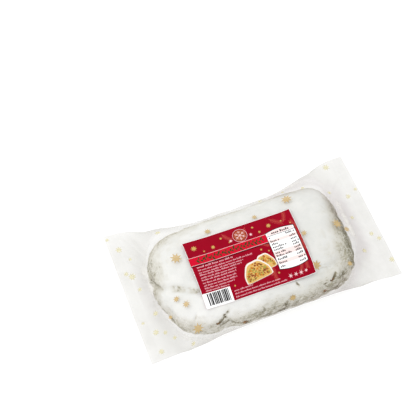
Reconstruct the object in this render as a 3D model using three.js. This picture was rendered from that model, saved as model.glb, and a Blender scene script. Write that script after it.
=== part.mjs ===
// A small sugar-dusted stollen sealed in a clear pillow bag, with a paper label on its top.
// Millimetres, +Z up. X runs along the bag, and the origin is on the ground under its middle.
// The loaf fills the bag, so the bag and its contents are one closed body, and the label is another.
import * as THREE from "three";

// Bag, as it lies
const BAG_LENGTH = 216;
const SEAL_WIDTH = 120; // across the flat end seals
const BACK_EDGE = 46.8; // Y of the long edges along the loaf, where the film is drawn in
const FRONT_EDGE = -52.4;
// Distances from the middle, [left, right], between which the edges spread and their height rises
const BACK_FLARE_START = [32, 32];
const FRONT_FLARE_START = [34, 50];
const FLARE_END = [105, 100];
const RISE_START = [52, 47];
const RISE_END = [102, 94];
const FLARE_SOFTNESS = 0.5; // 0 for a straight flare, 1 for a smooth step
const SEAL_HEIGHT = 20; // the end seals stand at half the loaf's height
const SEAL_BAND = 9; // length of each flat end seal along X
const FILM_STACK = 1.4; // thickness of a flat end seal
const FILM_EDGE_POWER = 0.2; // how bluntly that thickness closes at the long edges

// Loaf inside the bag
const CROWN_HEIGHT = 39.6; // highest line of the film over the loaf
const BULGE_HEIGHT = 11; // height at which the loaf is widest
const BASE_SINK = 0.6; // the base curve is cut off flat this far above its lowest point
const SHOULDER_START = 62; // |x| at which the crown starts to fall towards the seals
const HEEL_START = 74; // |x| at which the base starts to rise towards the seals

// Cross-sections (1 - |v|^p)^q, as { p, q }: full over and under the loaf, low with flat skirts by the seals
const CROWN_SECTION = { p: 2.8, q: 0.46 };
const CROWN_END_SECTION = { p: 2.3, q: 1.3 };
const BELLY_SECTION = { p: 6, q: 0.5 };
const BELLY_END_SECTION = { p: 2.6, q: 1.3 };

// The long fold of the dough: a back lobe laid over a lower front lip
const FOLD_DEPTH = 1.8;
const FOLD_HALF_WIDTH = 3.6;
const FOLD_STEP = 1.1; // how much higher the back lobe stands
const FOLD_START = -88; // X where the fold begins, and over how far it deepens and fades out
const FOLD_END = 78;
const FOLD_DEEPENS_OVER = 16;
const FOLD_FADES_OVER = 22;
const FOLD_FULL_DOME = 0.5; // share of the dome's height above which the fold has its full depth
// Y of the fold at its left end, and how far it bends in Y between two places along X
const FOLD_FIRST_Y = -6;
const FOLD_BENDS = [
  { from: -88, to: -46, by: -17 },
  { from: -60, to: 52, by: -16 },
  { from: 54, to: 76, by: 8 },
];

// Label
const LABEL_LENGTH = 93.4;
const LABEL_DEPTH = 58.8; // in plan, across the curved crown
const LABEL_CENTRE = { x: -6.1, y: -9.7 };
const LABEL_TURN = THREE.MathUtils.degToRad(-1);
const LABEL_THICKNESS = 0.3;
const LABEL_GAP = 0.3; // clear of the film under it

// Grid
const STATIONS = 52; // steps along the bag
const END_CROWDING = 0.5; // 0 for even steps, more for shorter steps towards the ends
const TOP_STEPS = 38;
const BASE_STEPS = 22;
const LABEL_STEPS = { along: 20, across: 12 };

// Colours
const FILM_OVER_SUGAR = 0xeceae2;
const LABEL_RED = 0x9f0922;

const HALF_LENGTH = BAG_LENGTH / 2;
const SEAL_START = HALF_LENGTH - SEAL_BAND;

const smoothstep = (low, high, x) => THREE.MathUtils.smoothstep(x, low, high);
const mix = THREE.MathUtils.lerp;

// The first of a pair on the left and the second on the right.
const bySide = (x, pair) => (x < 0 ? pair[0] : pair[1]);

// 0 along the loaf and 1 by the seals: partly a straight slope, partly a smooth step.
function flare(x, start) {
  const low = bySide(x, start);
  const share = THREE.MathUtils.clamp((Math.abs(x) - low) / (bySide(x, FLARE_END) - low), 0, 1);
  return mix(share, smoothstep(0, 1, share), FLARE_SOFTNESS);
}

const backEdge = (x) => mix(BACK_EDGE, SEAL_WIDTH / 2, flare(x, BACK_FLARE_START));
const frontEdge = (x) => mix(FRONT_EDGE, -SEAL_WIDTH / 2, flare(x, FRONT_FLARE_START));
const halfWidth = (x) => (backEdge(x) - frontEdge(x)) / 2;
const middle = (x) => (backEdge(x) + frontEdge(x)) / 2;

// Height of the widest line of the cross-section.
function sideHeight(x) {
  return mix(BULGE_HEIGHT, SEAL_HEIGHT, smoothstep(bySide(x, RISE_START), bySide(x, RISE_END), Math.abs(x)));
}

// Y of the fold in the dough at x: from the middle of the left end it turns towards the front,
// runs slowly nearer to the front edge, and bends back at the right end.
function foldLine(x) {
  return FOLD_BENDS.reduce((y, bend) => y + bend.by * smoothstep(bend.from, bend.to, x), FOLD_FIRST_Y);
}

// Height that the fold adds or takes away: a soft step with a groove at its foot.
function foldRelief(x, y, groove) {
  const deepens = smoothstep(FOLD_START, FOLD_START + FOLD_DEEPENS_OVER, x);
  const fades = 1 - smoothstep(FOLD_END - FOLD_FADES_OVER, FOLD_END, x);
  const across = (y - foldLine(x)) / FOLD_HALF_WIDTH;
  const step = (FOLD_STEP * (Math.tanh(across / 2) - 1)) / 2;
  return deepens * fades * (step - groove * FOLD_DEPTH * Math.exp(-across * across));
}

// Half of the film's own thickness, closing to nothing at the long edges (v is -1 to 1 across).
const filmHalf = (v) => (FILM_STACK / 2) * (1 - v * v) ** FILM_EDGE_POWER;

// Share of the full height at v, by (1 - |v|^p)^q. Its powers go from those of one section to the other's.
function sectionShare(v, section, endSection, end) {
  return (1 - Math.abs(v) ** mix(section.p, endSection.p, end)) ** mix(section.q, endSection.q, end);
}

// Top of the bag at x and v: side height + rise x section share, with the fold pressed into it.
function topHeight(x, v, groove) {
  const end = smoothstep(SHOULDER_START, SEAL_START, Math.abs(x));
  const side = sideHeight(x);
  const rise = mix(CROWN_HEIGHT, SEAL_HEIGHT + FILM_STACK / 2, end) - side;
  const dome = sectionShare(v, CROWN_SECTION, CROWN_END_SECTION, end);
  const y = middle(x) + v * halfWidth(x);
  const fold = foldRelief(x, y, groove) * smoothstep(0, FOLD_FULL_DOME, dome);
  return side + filmHalf(v) + (rise - FILM_STACK / 2) * dome + fold * (1 - end);
}

// Underside of the bag: the same form turned down, cut off flat where it rests.
function baseHeight(x, v) {
  const end = smoothstep(HEEL_START, SEAL_START, Math.abs(x));
  const side = sideHeight(x);
  const drop = side - mix(-BASE_SINK, SEAL_HEIGHT - FILM_STACK / 2, end);
  const belly = sectionShare(v, BELLY_SECTION, BELLY_END_SECTION, end);
  return Math.max(0, side - filmHalf(v) - (drop - FILM_STACK / 2) * belly);
}

// One closed ring of points across the bag: over the top from +Y to -Y and back underneath.
function crossSection(x) {
  const ring = [];
  const place = (v, z) => ring.push(new THREE.Vector3(x, middle(x) + v * halfWidth(x), z));
  for (let i = 0; i < TOP_STEPS; i++) {
    const v = Math.cos((Math.PI * i) / TOP_STEPS);
    place(v, i === 0 ? sideHeight(x) : topHeight(x, v, 1));
  }
  for (let i = 0; i < BASE_STEPS; i++) {
    const v = -Math.cos((Math.PI * i) / BASE_STEPS);
    place(v, i === 0 ? sideHeight(x) : baseHeight(x, v));
  }
  return ring;
}

// Stations along X, closer together near the ends.
function stationX(i) {
  const s = (2 * i) / STATIONS - 1;
  return HALF_LENGTH * mix(s, Math.sin((Math.PI * s) / 2), END_CROWDING);
}

// A closed skin through rings of equal length, with a fan over each end ring.
function skinThrough(rings) {
  const size = rings[0].length;
  const points = rings.flat();
  const faces = [];
  for (let r = 0; r + 1 < rings.length; r++) {
    for (let i = 0; i < size; i++) {
      const a = r * size + i;
      const b = r * size + ((i + 1) % size);
      faces.push(a, b, a + size, b, b + size, a + size);
    }
  }
  const centre = (ring) => ring.reduce((sum, p) => sum.add(p), new THREE.Vector3()).divideScalar(size);
  const first = points.push(centre(rings[0])) - 1;
  const last = points.push(centre(rings.at(-1))) - 1;
  const lastRing = (rings.length - 1) * size;
  for (let i = 0; i < size; i++) {
    const j = (i + 1) % size;
    faces.push(first, j, i, last, lastRing + i, lastRing + j);
  }
  return new THREE.BufferGeometry().setFromPoints(points).setIndex(faces);
}

function bagGeometry() {
  const rings = [];
  for (let i = 0; i <= STATIONS; i++) rings.push(crossSection(stationX(i)));
  return skinThrough(rings);
}

// Point of the label at s, t (each -0.5 to 0.5), lying over the crown and bridging the fold.
function labelPoint(s, t, lift) {
  const flat = new THREE.Vector2(s * LABEL_LENGTH, t * LABEL_DEPTH);
  flat.rotateAround(new THREE.Vector2(0, 0), LABEL_TURN);
  const x = LABEL_CENTRE.x + flat.x;
  const y = LABEL_CENTRE.y + flat.y;
  const v = (y - middle(x)) / halfWidth(x);
  return new THREE.Vector3(x, y, topHeight(x, v, 0) + LABEL_GAP + lift);
}

// The label is a stack of thin rings: each runs over its top from +Y to -Y and back below.
function labelGeometry() {
  const { along, across } = LABEL_STEPS;
  const rings = [];
  for (let i = 0; i <= along; i++) {
    const s = i / along - 0.5;
    const ring = [];
    for (let j = 0; j <= across; j++) ring.push(labelPoint(s, 0.5 - j / across, LABEL_THICKNESS));
    for (let j = across; j >= 0; j--) ring.push(labelPoint(s, 0.5 - j / across, 0));
    rings.push(ring);
  }
  return skinThrough(rings);
}

function namedMesh(name, geometry, color, roughness) {
  geometry.computeVertexNormals();
  const mesh = new THREE.Mesh(geometry, new THREE.MeshStandardMaterial({ color, roughness, metalness: 0 }));
  mesh.name = name;
  return mesh;
}

const stollenPack = new THREE.Group();
stollenPack.add(namedMesh("bag", bagGeometry(), FILM_OVER_SUGAR, 0.25));
stollenPack.add(namedMesh("label", labelGeometry(), LABEL_RED, 0.4));

export default stollenPack;
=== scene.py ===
"""A small stollen dusted with powdered sugar, sealed in a clear pillow bag that is printed with gold
stars, with a red paper label on top. Lengths are millimetres until a mesh is made, and then metres."""

import bpy
import numpy as np
from mathutils import Matrix, Vector


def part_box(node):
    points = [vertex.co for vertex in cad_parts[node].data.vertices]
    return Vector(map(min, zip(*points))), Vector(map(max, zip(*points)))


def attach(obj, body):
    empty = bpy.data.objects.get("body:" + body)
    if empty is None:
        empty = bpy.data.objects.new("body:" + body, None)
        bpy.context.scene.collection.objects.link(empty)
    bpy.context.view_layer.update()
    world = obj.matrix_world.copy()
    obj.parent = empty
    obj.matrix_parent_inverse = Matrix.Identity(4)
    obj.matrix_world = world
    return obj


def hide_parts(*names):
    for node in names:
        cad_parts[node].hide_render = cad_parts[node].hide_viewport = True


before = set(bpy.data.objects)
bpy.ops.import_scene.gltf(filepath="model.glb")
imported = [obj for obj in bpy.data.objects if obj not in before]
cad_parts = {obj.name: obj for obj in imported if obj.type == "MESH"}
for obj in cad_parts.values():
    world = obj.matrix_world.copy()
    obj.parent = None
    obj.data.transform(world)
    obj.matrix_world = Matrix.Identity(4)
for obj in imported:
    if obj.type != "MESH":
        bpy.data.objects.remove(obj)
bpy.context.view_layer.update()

MM = 0.001
bag_low, bag_high = (np.array(corner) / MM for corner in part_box("bag"))

# Bag, as it lies
HALF_LENGTH = (bag_high[0] - bag_low[0]) / 2
HALF_SEAL_WIDTH = (bag_high[1] - bag_low[1]) / 2
BACK_EDGE = 46.8
FRONT_EDGE = -52.4
# Distances from the middle, (left, right), between which the edges spread and their height rises
BACK_FLARE_START, FRONT_FLARE_START, FLARE_END = (32, 32), (34, 50), (105, 100)
RISE_START, RISE_END = (52, 47), (102, 94)
FLARE_SOFTNESS = 0.5  # 0 for a straight flare, 1 for a smooth step
SEAL_HEIGHT = 20  # the end seals stand at half the loaf's height
SEAL_BAND = 9  # length of each flat end seal along X
SEAL_START = HALF_LENGTH - SEAL_BAND
SEAL_STOP = HALF_LENGTH - 1.5  # the pressing ends a little short of the cut edge
SEAL_THICKNESS = 0.4
FILM_EDGE_POWER = 0.2  # how bluntly that thickness closes at the long edges
CROWN_HEIGHT = bag_high[2]
BULGE_HEIGHT = 11  # height at which the loaf is widest
BASE_SINK = 0.6  # the base curve is cut off flat this far above its lowest point
SHOULDER_START = 62  # |x| at which the crown starts to fall towards the seals
HEEL_START = 74  # |x| at which the base starts to rise towards the seals
# Powers (p, q) of the cross-sections (1 - |v|^p)^q: over and under the loaf, and by the seals
CROWN_SECTION, CROWN_END_SECTION = (2.8, 0.46), (2.3, 1.3)
BELLY_SECTION, BELLY_END_SECTION = (6, 0.5), (2.6, 1.3)

# The long fold of the dough, as it shows in the film
FOLD_DEPTH = 1.8
FOLD_HALF_WIDTH = 3.6
FOLD_STEP = 1.1  # how much higher the back lobe stands
FOLD_START, FOLD_DEEPENS_OVER = -88, 16
FOLD_END, FOLD_FADES_OVER = 78, 22
FOLD_FULL_DOME = 0.5  # share of the dome's height above which the fold has its full depth
FOLD_FIRST_Y = -6  # Y of the fold at its left end
# Where along X each bend of the fold starts and stops, and how far it goes in Y
FOLD_BENDS = ((-88, -46, -17), (-60, 52, -16), (54, 76, 8))

# Loaf: its widest outline has four unlike quarters, each reach x (1 - |share|^n)^(1/m)
LOAF_MIDDLE_X = -1.8
LOAF_AXIS_Y = -7.5
LOAF_HALF_LENGTH = 85.2
LOAF_BACK_REACH = 52.6
LOAF_FRONT_REACH = 44.9
LOAF_CROWN = 38.3
LOAF_BASE = 0.35
LOAF_END_BULGE = 13  # height at which the ends are widest
LOAF_DOME, LOAF_BELLY = (3.1, 0.46), (6, 0.5)  # the powers p and q of its cross-sections
CROWN_TAPER, BASE_TAPER = 6.0, 7.0  # how bluntly crown and base close at the ends
LOAF_CROWDING = 2.2  # 1 for even steps along the loaf, more for shorter ones towards the ends
OUTLINE_END = 0.97  # past this share of the length the width that it has there counts
FILM_GAP = 0.55  # kept free between the loaf and the film
# The powers n and then m, each (left, right)
BACK_POWERS = (6.0, 12.0), (2.8, 3.4)
FRONT_POWERS = (4.0, 5.3), (2.5, 2.45)
# The front outline draws in at the foot of the long crease: place along X, half width and depth
WAIST_X, WAIST_HALF_WIDTH, WAIST_DEPTH = -38.0, 8.0, 1.9
# The front left corner is cut off on the slant: the way it faces, its distance from the middle, the
# share of the way that points past it are pulled in, and how softly that starts
SLANT_FACES = np.radians(-156.6)
SLANT_DISTANCE = 84.0
SLANT_PULL = 0.8
SLANT_SOFTNESS = 2.0

# The fold in the loaf itself: how far it turns up at the left end and wanders, its half width, its
# depth at the left end and along the top, and its lips' height and place in half widths
GROOVE_TURNS_UP = 12
GROOVE_WANDER = 1.6
GROOVE_HALF_WIDTH = 3.4
GROOVE_END_DEPTH, GROOVE_DEPTH = 3.2, 1.8
LIP_HEIGHT, LIP_PLACE = 0.5, 2.2

# Label, and its place along the bag and round it from the crest of the crown
LABEL_LENGTH = 93.4
LABEL_DEPTH = 60.0
LABEL_X = -6.1
LABEL_ROUND = -7.1
LABEL_TURN = np.radians(-1.0)
# Heights over the bag of the sheet's two sides, and of one step between layers of print
LABEL_BACK, LABEL_FACE, INK_STEP = 0.08, 0.2, 0.005
# The line from which the rows of print are measured down, and the sides of the table
PRINT_TOP = LABEL_DEPTH - 1.2
TABLE_LEFT, TABLE_RIGHT = 66.3, 90.4


# ---------------------------------------------------------------- numbers

def smooth(low, high, x):
    """0 below low, 1 above high, and 3t^2 - 2t^3 between."""
    t = np.clip((x - low) / (high - low), 0, 1)
    return t * t * (3 - 2 * t)


def mix(a, b, share):
    """a at share 0 and b at 1, straight between."""
    return a + (b - a) * share


def bell(t):
    """A Gaussian: 1 at 0, and e^-1 at 1."""
    return np.exp(-t * t)


def lattice_noise(points, size, seed):
    """Smooth noise from -1 to 1: random values on a lattice of that size, blended between its corners."""
    scaled = points / size
    cell = np.floor(scaled).astype(int)
    part = scaled - cell
    part = part * part * (3 - 2 * part)
    rng = np.random.default_rng(seed)
    shuffle = rng.permutation(256)
    values = rng.uniform(-1, 1, 256)

    def corner(dx, dy, dz):
        """The random values at one corner of each cell."""
        mixed = shuffle[(cell[..., 0] + dx) & 255]
        mixed = shuffle[(mixed + cell[..., 1] + dy) & 255]
        return values[shuffle[(mixed + cell[..., 2] + dz) & 255]]

    along_x = [mix(corner(0, dy, dz), corner(1, dy, dz), part[..., 0]) for dz in (0, 1) for dy in (0, 1)]
    low = mix(along_x[0], along_x[1], part[..., 1])
    high = mix(along_x[2], along_x[3], part[..., 1])
    return mix(low, high, part[..., 2])


def layered_noise(points, size, seed, layers):
    """Lattice noise with finer layers added, each half as large and half as strong."""
    strengths = 0.5 ** np.arange(layers)
    total = sum(s * lattice_noise(points, size * s, seed + i) for i, s in enumerate(strengths))
    return total / strengths.sum()


# ---------------------------------------------------------------- form of the bag

def by_side(x, pair):
    """The first of a pair on the left and the second on the right."""
    return np.where(x < 0, pair[0], pair[1])


def flare(x, start):
    """0 along the loaf and 1 by the seals: partly a straight slope, partly a smooth step."""
    low, high = by_side(x, start), by_side(x, FLARE_END)
    share = np.clip((np.abs(x) - low) / (high - low), 0, 1)
    return mix(share, smooth(0, 1, share), FLARE_SOFTNESS)


def back_edge(x):
    """Y of the bag's long edge at the back."""
    return mix(BACK_EDGE, HALF_SEAL_WIDTH, flare(x, BACK_FLARE_START))


def front_edge(x):
    """Y of the bag's long edge at the front."""
    return mix(FRONT_EDGE, -HALF_SEAL_WIDTH, flare(x, FRONT_FLARE_START))


def half_width(x):
    """Half the distance between the long edges."""
    return (back_edge(x) - front_edge(x)) / 2


def middle(x):
    """Y halfway between the long edges."""
    return (back_edge(x) + front_edge(x)) / 2


def side_height(x):
    """Height of the widest line of the cross-section."""
    return mix(BULGE_HEIGHT, SEAL_HEIGHT, smooth(by_side(x, RISE_START), by_side(x, RISE_END), np.abs(x)))


def fold_line(x):
    """Y of the fold in the dough at x: its first Y and each bend up to x, as smooth steps."""
    return sum((by * smooth(start, stop, x) for start, stop, by in FOLD_BENDS), FOLD_FIRST_Y)


def fold_relief(x, y, groove):
    """A soft step down to the front, with a groove of Gaussian section at its foot."""
    deepens = smooth(FOLD_START, FOLD_START + FOLD_DEEPENS_OVER, x)
    fades = 1 - smooth(FOLD_END - FOLD_FADES_OVER, FOLD_END, x)
    across = (y - fold_line(x)) / FOLD_HALF_WIDTH
    step = 0.5 * FOLD_STEP * (np.tanh(across / 2) - 1)
    return deepens * fades * (step - groove * FOLD_DEPTH * bell(across))


def film_half(v):
    """Half of the film's own thickness: it closes to nothing at the long edges by (1 - v^2)^p."""
    return SEAL_THICKNESS / 2 * (1 - v * v) ** FILM_EDGE_POWER


def section_share(v, section, end_section, end):
    """(1 - |v|^p)^q, with powers that go from those of one section to the other's."""
    p, q = (mix(power, end_power, end) for power, end_power in zip(section, end_section))
    return (1 - np.abs(v) ** p) ** q


def bag_top(x, v, groove):
    """Side height + rise x section share, v being -1 to 1 across, with the fold pressed into it."""
    end = smooth(SHOULDER_START, SEAL_START, np.abs(x))
    side = side_height(x)
    rise = mix(CROWN_HEIGHT, SEAL_HEIGHT + SEAL_THICKNESS / 2, end) - side
    dome = section_share(v, CROWN_SECTION, CROWN_END_SECTION, end)
    fold = fold_relief(x, middle(x) + v * half_width(x), groove) * smooth(0, FOLD_FULL_DOME, dome)
    return side + film_half(v) + (rise - SEAL_THICKNESS / 2) * dome + fold * (1 - end)


def bag_base(x, v):
    """The same form turned down, cut off flat where it rests."""
    end = smooth(HEEL_START, SEAL_START, np.abs(x))
    side = side_height(x)
    drop = side - mix(-BASE_SINK, SEAL_HEIGHT - SEAL_THICKNESS / 2, end)
    belly = section_share(v, BELLY_SECTION, BELLY_END_SECTION, end)
    return np.maximum(0, side - film_half(v) - (drop - SEAL_THICKNESS / 2) * belly)


def ring_shares(steps):
    """v round a ring of 2 x steps points: cos over the top from +1 to -1, and back underneath."""
    turn = np.pi * np.arange(steps) / steps
    return np.concatenate([np.cos(turn), -np.cos(turn)])[None, :]


def over_top(steps):
    """True for the points of such a ring that lie over the top."""
    return np.arange(2 * steps)[None, :] < steps


def bag_grid(stations, steps, groove):
    """Grid of points on the bag: a row for each x, and round each row 2 x steps points."""
    x = stations[:, None]
    v = ring_shares(steps)
    z = np.where(over_top(steps), bag_top(x, v, groove), bag_base(x, v))
    z = np.where(np.abs(v) > 1 - 1e-9, side_height(x), z)
    return np.stack([x + 0 * v, middle(x) + v * half_width(x), z], -1)


def grid_normals(grid):
    """Unit normals of a grid that closes round its rows: across its columns x along its rows."""
    along = np.gradient(grid, axis=0)
    across = np.roll(grid, -1, 1) - np.roll(grid, 1, 1)
    normal = np.cross(across, along)
    return normal / np.maximum(np.linalg.norm(normal, axis=-1, keepdims=True), 1e-9)


# ---------------------------------------------------------------- meshes

def ring_faces(rows, columns):
    """Quads between the rows of a grid whose columns close into rings."""
    row = np.arange(rows - 1)[:, None] * columns
    here = np.arange(columns)[None, :]
    there = (here + 1) % columns
    quads = [row + here, row + there, row + there + columns, row + here + columns]
    return np.stack(quads, -1).reshape(-1, 4).tolist()


def zip_faces(start, columns, first):
    """Faces that close a flat end ring: each point of its top half is joined to the one below it."""
    half = columns // 2
    faces = [[0, 1, columns - 1]]
    faces += [[i, i + 1, columns - i - 1, columns - i] for i in range(1, half - 1)]
    faces.append([half - 1, half, half + 1])
    return [[start + i for i in (face[::-1] if first else face)] for face in faces]


def pole_faces(start, columns, pole, first):
    """Triangles from an end ring to one point."""
    faces = [[start + i, start + (i + 1) % columns, pole] for i in range(columns)]
    return [face[::-1] for face in faces] if first else faces


def ball_faces(rows, columns):
    """Faces of a grid of rings that closes at two poles, which are its last two points."""
    poles = rows * columns
    ends = pole_faces(0, columns, poles, True) + pole_faces(poles - columns, columns, poles + 1, False)
    return ring_faces(rows, columns) + ends


def with_poles(grid):
    """The grid as one list, and then the means of its first and of its last ring."""
    return np.concatenate([grid.reshape(-1, *grid.shape[2:]), [grid[0].mean(0), grid[-1].mean(0)]])


def add_object(name, data):
    """An object of the scene that holds this data."""
    made = bpy.data.objects.new(name, data)
    bpy.context.scene.collection.objects.link(made)
    return made


def add_piece(name, points, faces, material, replaces=None, shaded_smooth=True):
    """A mesh object from points in millimetres. It rides on the one body."""
    mesh = bpy.data.meshes.new(name)
    mesh.from_pydata(np.asarray(points) * MM, [], faces)
    mesh.polygons.foreach_set("use_smooth", np.full(len(mesh.polygons), shaded_smooth))
    mesh.materials.append(material)
    mesh.update()
    piece = add_object(name, mesh)
    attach(piece, "root")
    if replaces:
        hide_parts(replaces)
    return piece


def add_values(piece, name, values):
    """A number for each vertex, which the piece's material reads by that name."""
    attribute = piece.data.attributes.new(name, "FLOAT", "POINT")
    attribute.data.foreach_set("value", np.asarray(values, np.float32).ravel())


def add_places(piece, name, places):
    """A place in millimetres for each vertex, which the piece's material reads in metres by that name."""
    attribute = piece.data.attributes.new(name, "FLOAT_VECTOR", "POINT")
    attribute.data.foreach_set("vector", (places * MM).astype(np.float32).ravel())


# ---------------------------------------------------------------- materials

def linear(red, green, blue):
    """An 0-255 display colour as linear light, with alpha 1."""
    c = np.array([red, green, blue]) / 255
    light = np.where(c <= 0.04045, c / 12.92, ((c + 0.055) / 1.055) ** 2.4)
    return (*light.tolist(), 1.0)


CRUST_DARK, CRUST_LIGHT = linear(114, 110, 88), linear(166, 161, 139)
CRUST_DUSTED, CRUST_TORN = linear(200, 195, 176), linear(88, 76, 54)
SUGAR_WHITE, SUGAR_WHITEST = linear(238, 238, 237), linear(246, 246, 244)
SHADED_SUGAR_DARK, SHADED_SUGAR_LIGHT = linear(222, 223, 220), linear(229, 229, 226)
SUGAR_THIN = linear(196, 190, 172)
FILM_CLEAR, FILM_SHADED, FILM_DUSTED = linear(136, 131, 106), linear(142, 124, 118), linear(226, 222, 212)
PAPER_DEEP, PAPER_BRIGHT = linear(144, 3, 29), linear(152, 4, 32)
SKIN_DARK, SKIN_LIGHT, SKIN_DUSTED = linear(60, 40, 16), linear(150, 106, 46), linear(214, 208, 196)
POWDER_GREY, POWDER_WHITE = linear(232, 229, 220), linear(250, 250, 248)


def feed(tree, socket, value):
    """Links a socket to another one, or sets it to a number or a colour."""
    if isinstance(value, bpy.types.NodeSocket):
        tree.links.new(value, socket)
    else:
        socket.default_value = value


def settings(tree, made, **values):
    """Feeds a node's inputs by their names, with _ for a space."""
    for name, value in values.items():
        feed(tree, made.inputs[name.replace("_", " ")], value)


def new_material(name, **values):
    """A material with its node tree and its shader, which gets those settings."""
    material = bpy.data.materials.new(name)
    material.use_nodes = True
    shader = material.node_tree.nodes["Principled BSDF"]
    settings(material.node_tree, shader, **values)
    return material, material.node_tree, shader


def node(tree, kind, **values):
    """A new node with those properties."""
    made = tree.nodes.new(kind)
    for name, value in values.items():
        setattr(made, name, value)
    return made


def math_node(tree, operation, *values):
    """A Math node. Each value is a socket or a number."""
    made = node(tree, "ShaderNodeMath", operation=operation)
    for socket, value in zip(made.inputs, values):
        feed(tree, socket, value)
    return made.outputs[0]


def noise_node(tree, place, scale, detail=4.0, roughness=0.6):
    """Noise from 0 to 1 at a place."""
    made = node(tree, "ShaderNodeTexNoise")
    settings(tree, made, Vector=place, Scale=scale, Detail=detail, Roughness=roughness)
    return made.outputs["Fac"]


def colour_mix(tree, share, first, second):
    """A colour mix. Each colour is a socket or four numbers."""
    made = node(tree, "ShaderNodeMix", data_type="RGBA")
    for socket, value in zip((made.inputs["Factor"], made.inputs[6], made.inputs[7]), (share, first, second)):
        feed(tree, socket, value)
    return made.outputs[2]


def ramp(tree, value, low, high, to_low=0.0, to_high=1.0):
    """A smooth Map Range from low..high to to_low..to_high."""
    made = node(tree, "ShaderNodeMapRange", interpolation_type="SMOOTHSTEP")
    for socket, number in zip(made.inputs, (value, low, high, to_low, to_high)):
        feed(tree, socket, number)
    return made.outputs[0]


def bump(tree, height, strength, distance):
    """The normal that a height gives, with its distance in metres."""
    made = node(tree, "ShaderNodeBump")
    settings(tree, made, Strength=strength, Distance=distance, Height=height)
    return made.outputs["Normal"]


def named_values(tree, name):
    """The numbers that add_values gave the piece."""
    return node(tree, "ShaderNodeAttribute", attribute_name=name).outputs["Fac"]


def named_places(tree, name):
    """The places that add_places gave the piece."""
    return node(tree, "ShaderNodeAttribute", attribute_name=name).outputs["Vector"]


def object_place(tree):
    """The place on the piece, in metres."""
    return node(tree, "ShaderNodeTexCoord").outputs["Object"]


def make_speckle_group():
    """Grains over a ground: noise at Place is cut at a level that Cover moves, so more Cover leaves
    fewer gaps."""
    group = bpy.data.node_groups.new("powder speckle", "ShaderNodeTree")
    group.interface.new_socket("Place", in_out="INPUT", socket_type="NodeSocketVector")
    for name, value in (("Scale", 900.0), ("Cover", 0.5), ("Softness", 0.06)):
        group.interface.new_socket(name, in_out="INPUT", socket_type="NodeSocketFloat").default_value = value
    for name in ("Mask", "Height"):
        group.interface.new_socket(name, in_out="OUTPUT", socket_type="NodeSocketFloat")
    entry = group.nodes.new("NodeGroupInput")
    result = group.nodes.new("NodeGroupOutput")
    place, scale, cover, softness = entry.outputs[:4]
    coarse = noise_node(group, place, scale, roughness=0.65)
    fine = noise_node(group, place, math_node(group, "MULTIPLY", scale, 3.1), detail=2.0)
    grain = math_node(group, "MULTIPLY_ADD", fine, 0.4, math_node(group, "MULTIPLY", coarse, 0.6))
    level = ramp(group, cover, 0.0, 1.0, 0.68, 0.32)
    low = math_node(group, "SUBTRACT", level, softness)
    high = math_node(group, "ADD", level, softness)
    mask = ramp(group, grain, low, high)
    settings(group, result, Mask=mask, Height=math_node(group, "MULTIPLY_ADD", grain, 0.5, mask))
    return group


SPECKLE = make_speckle_group()


def speckle(tree, place, scale, cover, softness):
    """The grains' mask and height at a place."""
    made = node(tree, "ShaderNodeGroup", node_tree=SPECKLE)
    settings(tree, made, Place=place, Scale=scale, Cover=cover, Softness=softness)
    return made.outputs["Mask"], made.outputs["Height"]


def sugared_crust():
    """Powdered sugar over baked crust. The piece's "sugar" values say how thick it lies, and in the band
    along its sides they also carry painted shade; "crack" says where the crust is torn; and a third set of
    values paints shade that greys the sugar towards the right. Its grains follow the "drawn" places."""
    material, tree, shader = new_material("sugared crust", Specular_IOR_Level=0.2)
    place = object_place(tree)
    sugar = named_values(tree, "sugar")
    baked = ramp(tree, noise_node(tree, place, 130.0, detail=5.0), 0.35, 0.65)
    crust = colour_mix(tree, baked, CRUST_DARK, CRUST_LIGHT)
    crust = colour_mix(tree, ramp(tree, sugar, 0.36, 0.6, 0.0, 0.7), crust, CRUST_DUSTED)
    crust = colour_mix(tree, named_values(tree, "crack"), crust, CRUST_TORN)
    mask, height = speckle(tree, named_places(tree, "drawn"), scale=560.0, cover=sugar, softness=0.05)
    thin = ramp(tree, noise_node(tree, place, 110.0), 0.3, 0.7)
    white = colour_mix(tree, thin, SUGAR_WHITE, SUGAR_WHITEST)
    # painted shade: greyer sugar where the loaf lies away from the light
    shaded_sugar = colour_mix(tree, thin, SHADED_SUGAR_DARK, SHADED_SUGAR_LIGHT)
    white = colour_mix(tree, named_values(tree, "painted_shade"), white, shaded_sugar)
    white = colour_mix(tree, ramp(tree, sugar, 0.55, 1.0, 0.5, 0.0), white, SUGAR_THIN)
    settings(
        tree,
        shader,
        Base_Color=colour_mix(tree, mask, crust, white),
        Roughness=ramp(tree, mask, 0.0, 1.0, 0.55, 0.95),
        Normal=bump(tree, height, strength=0.5, distance=0.0003),
    )
    return material


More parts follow.
